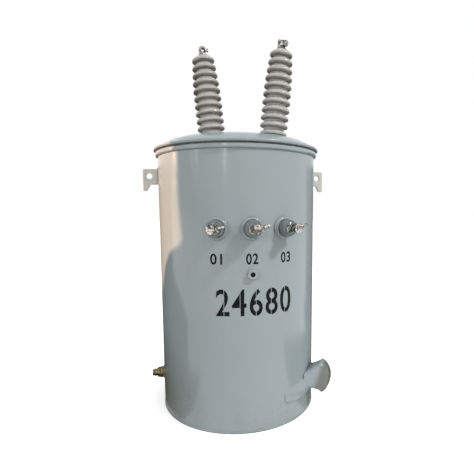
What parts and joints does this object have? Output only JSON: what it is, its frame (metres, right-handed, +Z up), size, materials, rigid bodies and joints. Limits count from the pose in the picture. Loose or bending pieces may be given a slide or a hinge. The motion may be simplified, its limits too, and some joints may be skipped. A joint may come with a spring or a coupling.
{
  "type": "pole mounted transformer",
  "caption": "Upright round steel tank with a domed cover, ribbed bushings on the cover, low-voltage bushings on the wall, lifting lugs, a drain and a pole bracket.",
  "frame": {"origin": "centre of the underside of the tank", "axes": "+Z up along the tank's axis; the middle low-voltage bushing faces -Y, the lifting lugs lie on X"},
  "size_m": [0.57, 0.5566, 1.1182],
  "materials": {
    "tank_paint": "gloss light blue-grey enamel",
    "hv_porcelain": "grey glaze",
    "lv_insulator": "grey moulded epoxy, satin",
    "tinned_metal": "bright tin plate",
    "drain_brass": "dull brass",
    "gasket_rubber": "matt black"
  },
  "bodies": {
    "root": {"cover": "tank_paint", "cover_gasket": "gasket_rubber", "drain_body": "drain_brass", "drain_coupling": "tank_paint", "drain_plug": "drain_brass", "ground_boss": "tank_paint", "hv_eye_left": "tinned_metal", "hv_eye_right": "tinned_metal", "hv_gasket_left": "gasket_rubber", "hv_gasket_right": "gasket_rubber", "hv_porcelain_left": "hv_porcelain", "hv_porcelain_right": "hv_porcelain", "hv_screw_left": "tinned_metal", "hv_screw_right": "tinned_metal", "hv_seat_left": "tank_paint", "hv_seat_right": "tank_paint", "hv_stud_left": "tinned_metal", "hv_stud_right": "tinned_metal", "lifting_lug_left": "tank_paint", "lifting_lug_right": "tank_paint", "lv_boss_1": "tank_paint", "lv_boss_2": "tank_paint", "lv_boss_3": "tank_paint", "lv_eye_1": "tinned_metal", "lv_eye_2": "tinned_metal", "lv_eye_3": "tinned_metal", "lv_gasket_1": "gasket_rubber", "lv_gasket_2": "gasket_rubber", "lv_gasket_3": "gasket_rubber", "lv_insulator_1": "lv_insulator", "lv_insulator_2": "lv_insulator", "lv_insulator_3": "lv_insulator", "lv_screw_1": "tinned_metal", "lv_screw_2": "tinned_metal", "lv_screw_3": "tinned_metal", "lv_stud_1": "tinned_metal", "lv_stud_2": "tinned_metal", "lv_stud_3": "tinned_metal", "pole_bracket": "tank_paint", "tank_bottom": "tank_paint", "tank_rim": "tank_paint", "tank_shell": "tank_paint"}
  },
  "joints": []
}
